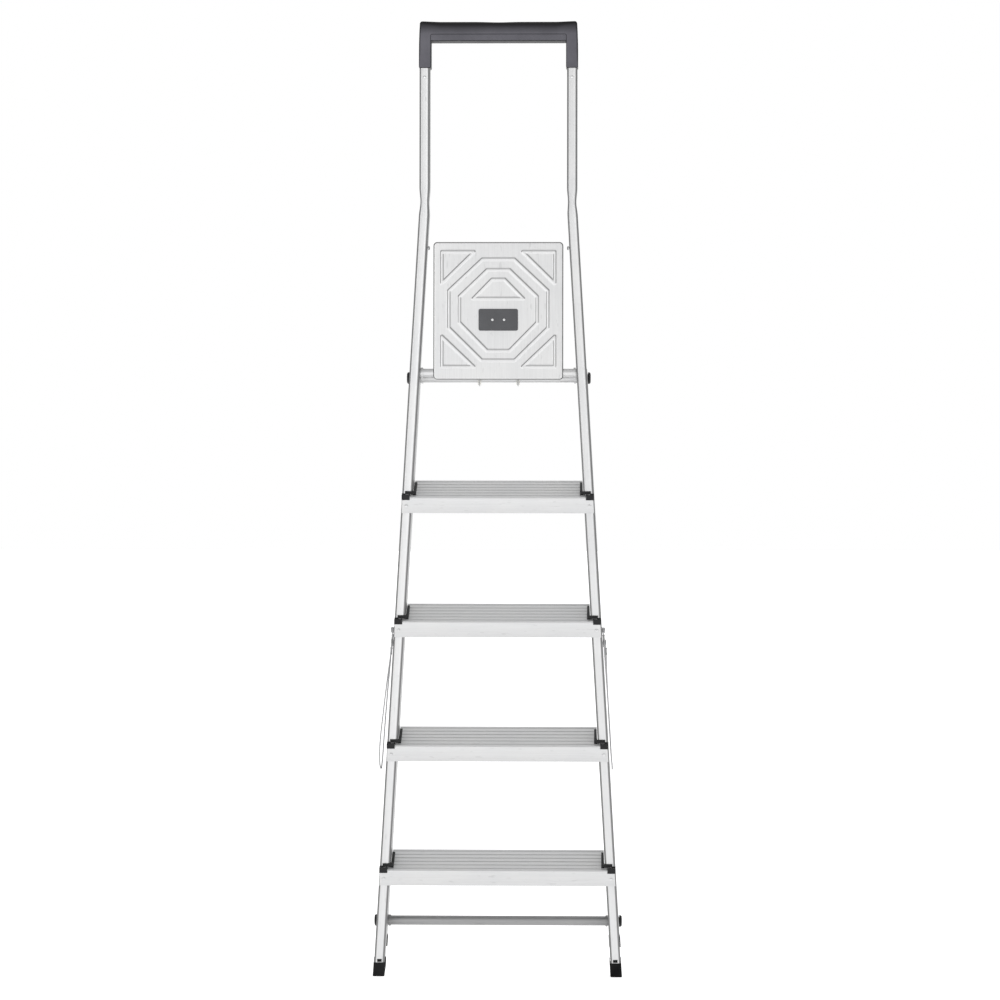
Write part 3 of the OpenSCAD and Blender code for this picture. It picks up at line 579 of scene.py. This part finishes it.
def soft_half_w(z, spread=16.0):
    """The same, with the sharp turn rounded over a short length."""
    rate = (FOOT_HALF - TOP_HALF) / BEND_Z
    u = (BEND_Z - z) / spread
    if abs(u) >= 1:
        return half_w(z)
    return TOP_HALF + rate * spread * (u + 1) ** 2 / 4


def corner(cx, cy, r, a0, a1, n=6):
    """Points on a round corner, from angle a0 to a1 in degrees."""
    return [(cx + r * math.cos(math.radians(a0 + (a1 - a0) * k / n)),
             cy + r * math.sin(math.radians(a0 + (a1 - a0) * k / n))) for k in range(n + 1)]


def stile_section():
    """Points round the tube, across and in depth, front at 0 and back at STILE_D."""
    w, d, r = STILE_W / 2, STILE_D, 3.0
    face = [(-w + 3.4, 0.0), (-5.6, 0.0), (-4.8, 0.04), (-3.8, 0.11), (-3.0, 0.13), (0, 0.14),
            (3.0, 0.13), (3.8, 0.11), (4.8, 0.04), (5.6, 0.0), (w - 3.4, 0.0)]
    right = corner(w - r, r + 0.1, r, -90, 0)
    back = corner(w - r, d - r, r, 0, 90)
    half = face + right + [(w, d * 0.3), (w, d * 0.6)] + back
    rear = [(4.9, d - 0.05), (4.3, d - 0.3), (3.6, d - 0.65), (0, d - 0.7), (-3.6, d - 0.65),
            (-4.3, d - 0.3), (-4.9, d - 0.05)]
    rest = [(-x, y) for x, y in reversed(right + [(w, d * 0.3), (w, d * 0.6)] + back)]
    return half + rear + rest


def pinch(z):
    """How far the tube narrows at the press dents beside the bend."""
    u = (z - 1455.0) / 27.0
    return 1 - 0.195 * (math.cos(u * math.pi / 2) ** 2 if abs(u) < 1 else 0)


# %% [markdown]
# ### Stacking the rings
# The rings lie close together at the bend, where the shape changes fast, and far apart on the
# straight lengths. The lowest ring is cut at the slant that the feet stand at.

# %% Stiles
section = stile_section()
INSET = 0.6              # the inner side wall stands in by this much
SOLE_Z = 5.4             # the cut end's front edge; None below stands for the slanted cut itself
heights = ([None, 40] + list(range(100, 1400, 100)) + list(range(1404, 1500, 4))
           + [1560, 1660, LADDER_H - 12])
for side, word in ((LEFT, "left"), (RIGHT, "right")):
    verts, n = [], len(section)
    for z in heights:
        for u, d in section:
            h = SOLE_Z + d * math.tan(TREAD_SLOPE) if z is None else z
            k = pinch(h)
            x = soft_half_w(h) - STILE_W / 2 + (u + INSET * (u < 0)) * k
            verts.append(at(side * x, d, h))
    faces = [[i * n + k, i * n + (k + 1) % n, (i + 1) * n + (k + 1) % n, (i + 1) * n + k]
             for i in range(len(heights) - 1) for k in range(n)]
    faces += [list(range(n))[::-1], [(len(heights) - 1) * n + k for k in range(n)]]
    if side == LEFT:
        faces = [f[::-1] for f in faces]
    o = surface(f"front_stile_{word}", verts, faces)
    o.modifiers.new("smooth", "EDGE_SPLIT").split_angle = math.radians(60)
    dress(o, "stile_aluminium", "front_frame")
    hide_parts(f"stile_{word}")
    print(o.name, len(verts), "points")

# %% [markdown]
# ## Platform
# The platform is one sheet of aluminium pressed into a shallow tray, with raised ribs that
# stiffen it. A pressed rib has a flat crown and sloping sides, so the sheet is drawn as a fine
# grid whose height at each point comes from its distance to the nearest rib line. Round its
# edge the grid continues as rings that turn over the rim, down its side and back up inside.

# %% Platform measurements
PLAT_W, PLAT_L, PLAT_LOW, PLAT_RIM, SHEET = 244.0, 258.5, 1121.4, 20.0, 1.5
PLAT_FACE = 10.0
RIB_W, RIB_H, RIB_SIDE = 6.4, 1.6, 1.6


def rib_lines():
    """Every pressed line, as pairs of points measured from the middle of the front edge."""
    out = []

    def run(points, closed=False):
        q = points + points[:1] if closed else points
        out.extend(zip(q, q[1:]))
    for s in (-1, 1):
        run([(s * 46, 240), (s * 106, 240), (s * 106, 181), (s * 46, 240)])
        run([(s * 106, 81), (s * 46, 24), (s * 106, 24), (s * 106, 81)])
    run([(-30, 226), (30, 226), (93, 167), (93, 97), (31, 36), (-31, 36), (-93, 97), (-93, 167)], True)
    run([(-21, 206), (21, 206), (73, 156), (73, 107), (21, 54), (-21, 54), (-73, 107), (-73, 156)], True)
    run([(-12, 188), (12, 188), (47, 152), (-47, 152)], True)
    return out


LINES = np.array([[a, b] for a, b in rib_lines()], float)


def rib_height(x, s):
    """Height of the pressed pattern at points across and along the sheet."""
    p = np.stack([x, s], -1)[:, None, :]
    a, b = LINES[None, :, 0], LINES[None, :, 1]
    ab = b - a
    t = np.clip(((p - a) * ab).sum(-1) / (ab ** 2).sum(-1), 0, 1)
    dist = np.linalg.norm(p - (a + t[..., None] * ab), axis=-1).min(1)
    u = np.clip((RIB_W / 2 - dist) / RIB_SIDE, 0, 1)
    return RIB_H * u * u * (3 - 2 * u)


# %% [markdown]
# ### Front, rim and back in one sheet
# The grid covers all but a border. The border is a set of closed rings, each a little further out
# and further back, so the rim turns over in a true curve. The back is the same grid again, one
# sheet's thickness behind.

# %% Platform sheet
def tray(step=1.15, r=7.0, edge=2.6, turns=6):
    """Front skin, rim and back skin of the pressed sheet, as one closed mesh."""
    hw, hl = PLAT_W / 2 - r, PLAT_L / 2 - r
    nx, ns = int(2 * hw / step), int(2 * hl / step)
    xs, ss = np.linspace(-hw, hw, nx + 1), np.linspace(-hl, hl, ns + 1)
    ring = ([(x, -hl, 0.0, -1.0) for x in xs]
            + [(hw, -hl, math.sin(a), -math.cos(a)) for a in np.linspace(0, math.pi / 2, turns + 1)]
            + [(hw, s, 1.0, 0.0) for s in ss]
            + [(hw, hl, math.cos(a), math.sin(a)) for a in np.linspace(0, math.pi / 2, turns + 1)]
            + [(x, hl, 0.0, 1.0) for x in xs[::-1]]
            + [(-hw, hl, -math.sin(a), math.cos(a)) for a in np.linspace(0, math.pi / 2, turns + 1)]
            + [(-hw, s, -1.0, 0.0) for s in ss[::-1]]
            + [(-hw, -hl, -math.cos(a), -math.sin(a)) for a in np.linspace(0, math.pi / 2, turns + 1)])
    m = len(ring)
    verts, faces = [], []

    def grid(depth, flip):
        base = len(verts)
        X, S = np.meshgrid(xs, ss, indexing="ij")
        h = rib_height(X.ravel(), S.ravel() + PLAT_L / 2)
        for x, s, k in zip(X.ravel(), S.ravel(), h):
            verts.append((x, depth - k, s))
        for i in range(nx):
            for j in range(ns):
                q = [base + i * (ns + 1) + j, base + (i + 1) * (ns + 1) + j,
                     base + (i + 1) * (ns + 1) + j + 1, base + i * (ns + 1) + j + 1]
                faces.append(q[::-1] if flip else q)
        around = ([base + i * (ns + 1) for i in range(nx + 1)]
                  + [base + nx * (ns + 1)] * (turns + 1)
                  + [base + nx * (ns + 1) + j for j in range(ns + 1)]
                  + [base + nx * (ns + 1) + ns] * (turns + 1)
                  + [base + i * (ns + 1) + ns for i in range(nx, -1, -1)]
                  + [base + ns] * (turns + 1)
                  + [base + j for j in range(ns, -1, -1)]
                  + [base] * (turns + 1))
        return around

    def hoop(out, depth):
        base = len(verts)
        for x, s, ux, us in ring:
            lift = 0.0
            px, ps = x + ux * out, s + us * out
            if depth in (PLAT_FACE, PLAT_FACE + SHEET):
                lift = rib_height(np.array([px]), np.array([ps + PLAT_L / 2]))[0]
            verts.append((px, depth - lift, ps))
        return list(range(base, base + m))

    def join(a, b):
        for k in range(m):
            l = (k + 1) % m
            q = [a[k], a[l], b[l], b[k]]
            q = [v for i, v in enumerate(q) if v not in q[:i]]
            if len(q) > 2:
                faces.append(q[::-1])

    last = grid(PLAT_FACE, False)
    for out in np.linspace(0, r - edge, 4)[1:]:
        now = hoop(out, PLAT_FACE)
        join(last, now)
        last = now
    for a in np.linspace(0, math.pi / 2, 6)[1:]:
        now = hoop(r - edge + edge * math.sin(a), PLAT_FACE + edge * (1 - math.cos(a)) + 1e-4)
        join(last, now)
        last = now
    back = PLAT_FACE + PLAT_RIM
    for out, depth in ((r, PLAT_FACE + 12), (r, back - 0.6), (r - 0.4, back - 0.1),
                       (r - SHEET + 0.4, back - 0.1), (r - SHEET, back - 0.6),
                       (r - SHEET, PLAT_FACE + 12)):
        now = hoop(out, depth)
        join(last, now)
        last = now
    inner = edge - SHEET
    for a in np.linspace(math.pi / 2, 0, 4):
        now = hoop(r - edge + inner * math.sin(a), PLAT_FACE + edge - inner * math.cos(a) + 1e-4)
        join(last, now)
        last = now
    last_grid = grid(PLAT_FACE + SHEET, True)
    join(last, last_grid)
    return verts, faces


verts, faces = tray()
mid = PLAT_LOW + PLAT_L / 2
plate = surface("platform_sheet", [at(x, d, s + mid) for x, d, s in verts], faces)
bm = bmesh.new()
bm.from_mesh(plate.data)
bmesh.ops.remove_doubles(bm, verts=bm.verts, dist=2e-6)
bmesh.ops.dissolve_degenerate(bm, edges=bm.edges, dist=1e-6)
bmesh.ops.recalc_face_normals(bm, faces=bm.faces)
bm.to_mesh(plate.data)
bm.free()
dress(plate, "platform_aluminium", "platform")
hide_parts("platform_plate")
print("platform sheet:", len(plate.data.vertices), "points")

# %% [markdown]
# ## Handle
# The handle is one hollow moulding of dark grey plastic that caps both stiles. Its outline is
# drawn as a flat shape first, then given its depth in rings that round its edges. The
# lower half of the bar is set back a little along the front and the back, below a fine groove.
# Cutting a groove into a rounded solid leaves poor mesh, so the two bands are drawn as two
# rounded slabs that meet at the groove.

# %% Rounded slabs
GRIP_HALF, GRIP_BAR, GRIP_LEG, GRIP_LEG_W, GRIP_DEPTH = 149.5, 39.5, 88.0, 22.6, 45.0


def rounded_slab(name, points, depth0, depth1, radius, steps=7):
    """A flat outline in X and Z, given depth, with its front and back edges rounded.

    radius is one number, or one for each point of the outline."""
    p = np.array(points, float)
    e = np.roll(p, -1, 0) - p
    e /= np.linalg.norm(e, axis=1)[:, None]
    n0 = np.stack([-e[:, 1], e[:, 0]], 1)
    n = n0 + np.roll(n0, 1, 0)
    n /= np.maximum((n * n0).sum(1), 0.3)[:, None]
    area = (p[:, 0] * np.roll(p[:, 1], -1) - np.roll(p[:, 0], -1) * p[:, 1]).sum()
    inward = n if area > 0 else -n
    r = np.full(len(p), radius) if isinstance(radius, (int, float)) else np.array(radius)
    rings = [(r * (1 - math.sin(a)), depth0 + r * (1 - math.cos(a)))
             for a in np.linspace(0, math.pi / 2, steps + 1)]
    rings += [(i, depth0 + depth1 - d) for i, d in reversed(rings)]
    verts, faces, m = [], [], len(p)
    for inset, depth in rings:
        verts += [at(x, d, z) for (x, z), d in zip(p + inward * inset[:, None], depth)]
    for k in range(len(rings) - 1):
        faces += [[k * m + i, k * m + (i + 1) % m, (k + 1) * m + (i + 1) % m, (k + 1) * m + i]
                  for i in range(m)]
    faces += [list(range(m)), [(len(rings) - 1) * m + i for i in range(m)]]
    o = surface(name, verts, faces)
    bm = bmesh.new()
    bm.from_mesh(o.data)
    bmesh.ops.recalc_face_normals(bm, faces=bm.faces)
    bm.to_mesh(o.data)
    bm.free()
    o.modifiers.new("crisp", "EDGE_SPLIT").split_angle = math.radians(50)
    return o


# %% [markdown]
# ### The two slabs
# The upper slab is the bar's top band and both legs in one outline. Its rounding differs from
# point to point: a slab can't be rounded by more than the radius of its own corners, or the
# outline crosses itself, so the corners and the ends of the legs get the least.

# %% Handle pieces
SEAM_Z = LADDER_H - 25.2


def handle_outline():
    """Right half of the upper band and the leg, then its mirror image."""
    top, leg, inner = LADDER_H, LADDER_H - GRIP_LEG, GRIP_HALF - GRIP_LEG_W
    pts = [(x, top - 0.1 - 0.9 * math.exp(-(x / 26.0) ** 2)) for x in np.linspace(0, 130, 14)]
    pts += corner(GRIP_HALF - 6.6, top - 5.1, 5, 88, 12, 6)
    pts += [(GRIP_HALF - 0.9, top - 18), (GRIP_HALF - 0.2, top - 40), (GRIP_HALF, leg + 30)]
    pts += corner(GRIP_HALF - 3, leg + 3, 3, 0, -88, 4)
    pts += corner(inner + 3, leg + 3, 3, -92, -180, 4)
    pts += [(inner, LADDER_H - 60), (inner, LADDER_H - GRIP_BAR + 2.2)]
    pts += corner(inner - 2.5, SEAM_Z - 2.5, 2.5, 0, 90, 4)
    pts += [(x, SEAM_Z) for x in np.linspace(inner - 12, 0, 10)]
    return pts + [(-x, z) for x, z in reversed(pts[1:-1])]


front_face, back_face = STILE_D / 2 - GRIP_DEPTH / 2, STILE_D / 2 + GRIP_DEPTH / 2
outline = handle_outline()
BAR_R, SIDE_R, SMALL_R = 15.0, 4.4, 2.2      # rounding of the bar's top, the sides and the ends


def handle_radius(x, z):
    """The bar is rounded a lot along its top, the legs less, and their ends least."""
    if z > LADDER_H - 3 and abs(x) < GRIP_HALF - 8:
        return BAR_R - (BAR_R - SIDE_R) * min(1, max(0, abs(x) - 112) / 28)
    if z < LADDER_H - GRIP_LEG + 6 or (z < SEAM_Z + 3 and abs(x) < GRIP_HALF - GRIP_LEG_W + 1):
        return SMALL_R
    return SIDE_R


handle = rounded_slab("handle_moulding", outline, front_face, back_face,
                      [handle_radius(x, z) for x, z in outline])
dress(handle, "handle_plastic", "front_frame")
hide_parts("handle_grip")
inner = GRIP_HALF - GRIP_LEG_W
low = LADDER_H - GRIP_BAR + 2.2
band = ([(-inner - 3, SEAM_Z + 5), (-inner - 3, low)] + [(x, low) for x in np.linspace(-inner, inner, 12)]
        + [(inner + 3, low), (inner + 3, SEAM_Z + 5)])
lower = rounded_slab("handle_lower_band", band, front_face + 1.3, back_face - 1.3, 2.6)
dress(lower, "handle_plastic", "front_frame")
print("handle:", len(handle.data.vertices) + len(lower.data.vertices), "points")

# %% [markdown]
# ## The remaining solids
# The treads, tubes, feet, caps, rivets, bracket and latch keep the shape of their solids. Real
# parts have no razor edges, so the pieces whose names start as listed below get a narrow bevel.
# It must come after a planar dissolve, which merges the solid's small triangles into whole faces,
# because a bevel on loose triangles would crease every flat side.

# %% Finishes on the solids
EDGE = {"tread_": 0.35, "tread_cap": 0.5, "front_foot": 0.9, "rear_foot": 0.9, "latch_plate": 0.4,
        "tube_latch": 0.8, "slide_bracket": 0.3, "rear_leg": 0.3}
SLOT_OF = {p["node"]: p["material_slot"] for p in frame["record"]["subparts"]}
for name, o in nodes.items():
    slot_name = SLOT_OF[name]
    finish = FINISH[slot_name]
    if slot_name == "tread_aluminium":
        finish = tread_alus[int(name[-1]) - 1]
    if name.startswith("rear_leg"):
        finish = leg_alu
    if name.startswith("cord_stud"):
        finish = stud
    # The rear cross tube takes the aluminium finish with painted shade.
    if name == "rear_cross_tube":
        finish = cross_alu_painted_shade
    for place in o.material_slots:
        place.material = finish
    widths = [w for start, w in EDGE.items() if name.startswith(start)]
    if widths:
        flat = o.modifiers.new("whole faces", "DECIMATE")
        flat.decimate_type, flat.angle_limit = "DISSOLVE", math.radians(0.8)
        edge = o.modifiers.new("soft edge", "BEVEL")
        edge.width, edge.segments, edge.limit_method = widths[-1] * MM, 2, "ANGLE"
        edge.angle_limit, edge.use_clamp_overlap = math.radians(35), True
        edge.harden_normals = True
print("solids finished:", len(nodes))
